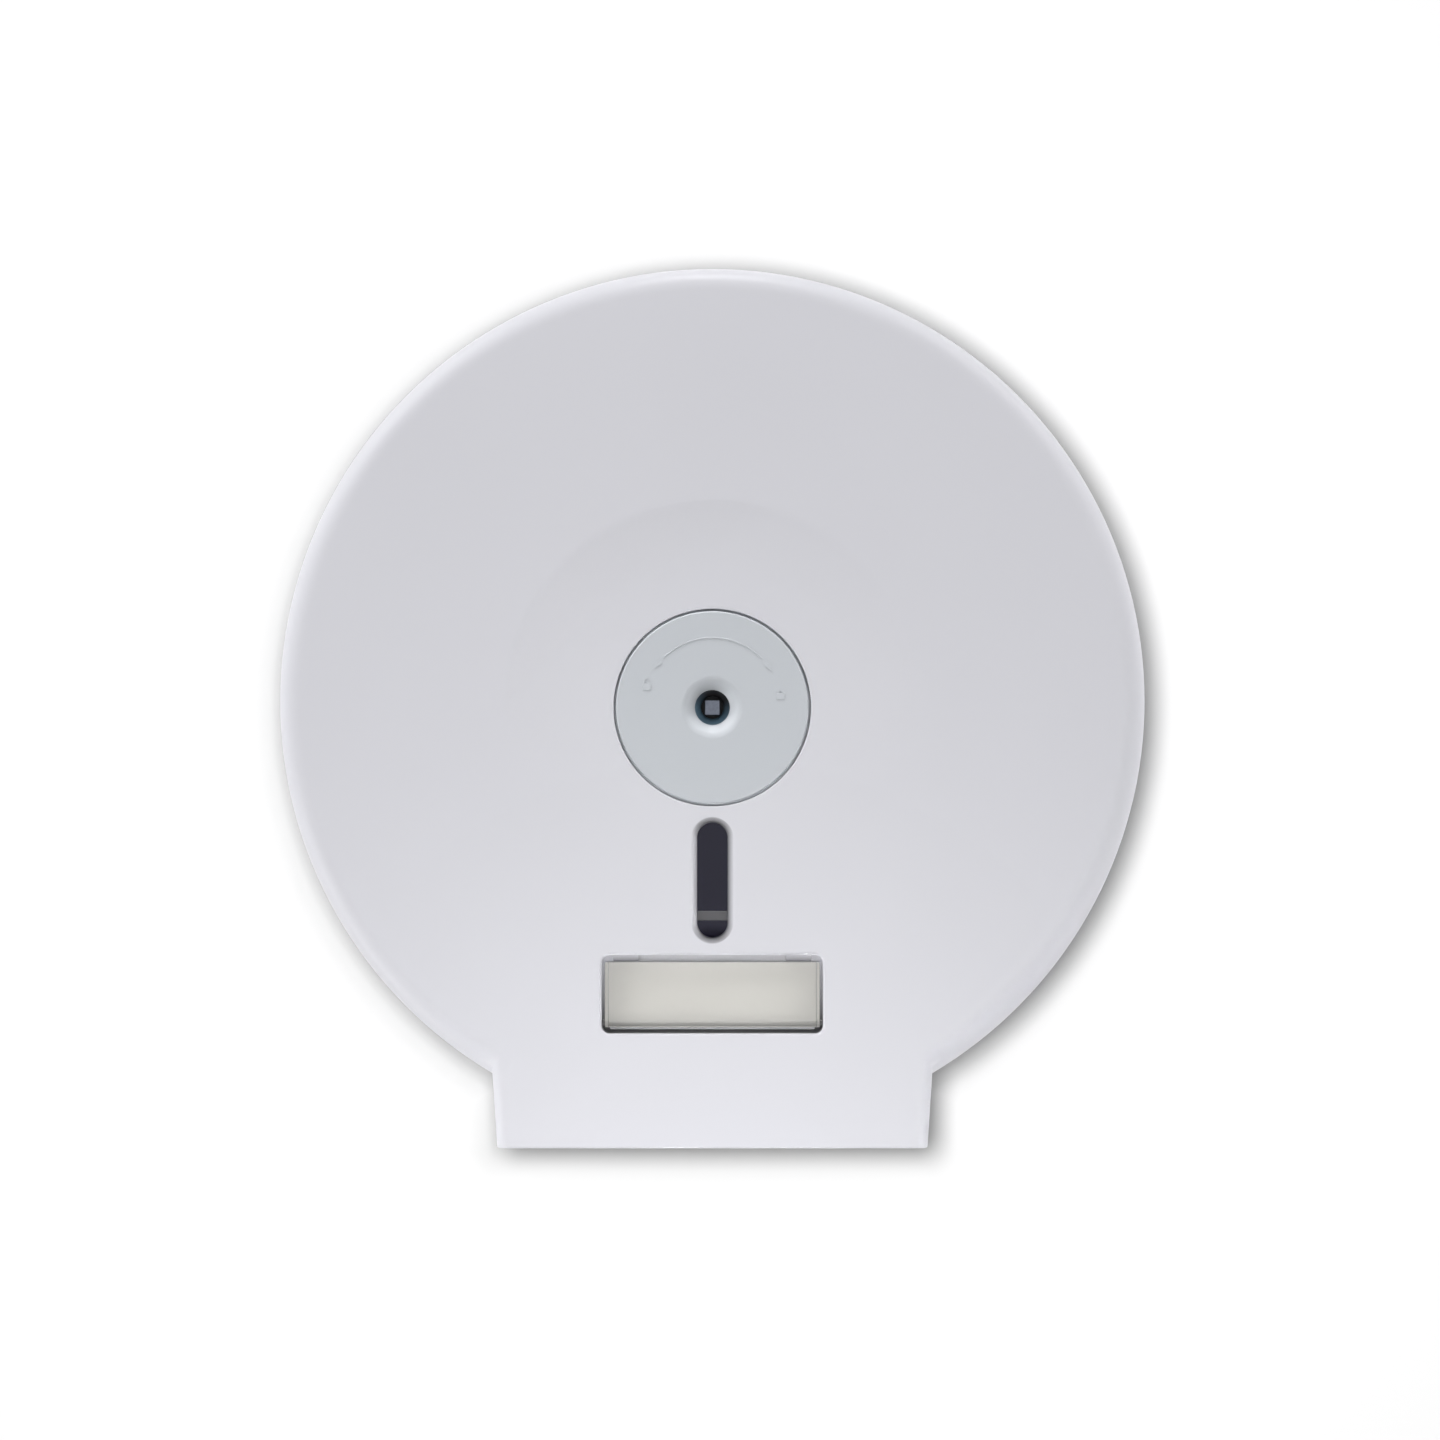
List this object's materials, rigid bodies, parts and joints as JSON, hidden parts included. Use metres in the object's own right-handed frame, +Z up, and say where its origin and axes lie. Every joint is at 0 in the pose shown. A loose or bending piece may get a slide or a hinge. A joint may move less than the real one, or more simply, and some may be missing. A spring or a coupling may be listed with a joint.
{
  "type": "jumbo toilet roll dispenser",
  "caption": "Wall dispenser for a jumbo toilet roll: round drum cover hinged on a back plate, roll hub, key lock, view slot, label window and tear strips.",
  "frame": {"origin": "point on the wall face of the back plate where the roll's axis meets the wall", "axes": "+Y along the roll's axis into the wall, +Z up, +X to the right seen from the front"},
  "size_m": [0.27, 0.122, 0.274],
  "materials": {
    "cover_abs": "injection-moulded ABS, light grey-white, fine satin",
    "plate_abs": "injection-moulded ABS, light grey, matt",
    "hub_abs": "injection-moulded ABS, white, matt",
    "disc_abs": "injection-moulded ABS, light grey with a cool cast, satin",
    "housing_nylon": "glass-filled nylon, dark grey",
    "barrel_acetal": "moulded acetal, black",
    "washer_nylon": "natural nylon",
    "zinc_plated_steel": "zinc-plated steel",
    "stainless_steel": "stamped stainless steel",
    "die_cast_zinc": "die-cast zinc, tumbled",
    "spring_steel": "drawn spring wire",
    "smoked_acrylic": "smoked acrylic, polished",
    "clear_acrylic": "clear acrylic, polished",
    "card": "blank warm-grey card"
  },
  "bodies": {
    "wall_unit": {"back_plate": "plate_abs", "spindle_post": "plate_abs", "post_screws": "zinc_plated_steel", "strike_plate": "stainless_steel", "strike_screws": "zinc_plated_steel", "hub_washer": "washer_nylon", "hinge_pin_left": "zinc_plated_steel", "hinge_pin_right": "zinc_plated_steel"},
    "roll_hub": {"roll_hub": "hub_abs"},
    "cover": {"front_cover": "cover_abs", "view_window": "smoked_acrylic", "lock_disc": "disc_abs", "lock_housing": "housing_nylon", "lock_screws": "zinc_plated_steel", "lock_spring": "spring_steel", "label_card": "card", "tear_strip_left": "stainless_steel", "tear_strip_right": "stainless_steel", "tear_strip_screws": "zinc_plated_steel"},
    "label_window": {"label_window": "clear_acrylic"},
    "lock": {"lock_barrel": "barrel_acetal", "lock_shaft": "die_cast_zinc", "lock_bar": "zinc_plated_steel", "lock_nut": "zinc_plated_steel", "lock_clip": "spring_steel"}
  },
  "joints": [
    {"name": "cover_hinge", "type": "hinge", "parent": "wall_unit", "child": "cover", "pos_m": [0, -0.014, -0.127], "axis": [1, 0, 0], "range_deg": [0, 90]},
    {"name": "roll_spin", "type": "hinge", "parent": "wall_unit", "child": "roll_hub", "pos_m": [0, -0.055, 0], "axis": [0, 1, 0], "continuous": true},
    {"name": "lock_turn", "type": "hinge", "parent": "cover", "child": "lock", "pos_m": [0, -0.11, 0], "axis": [0, 1, 0], "range_deg": [0, 90]},
    {"name": "label_tilt", "type": "hinge", "parent": "cover", "child": "label_window", "pos_m": [0, -0.1191, -0.098], "axis": [1, 0, 0], "range_deg": [0, 55]}
  ]
}
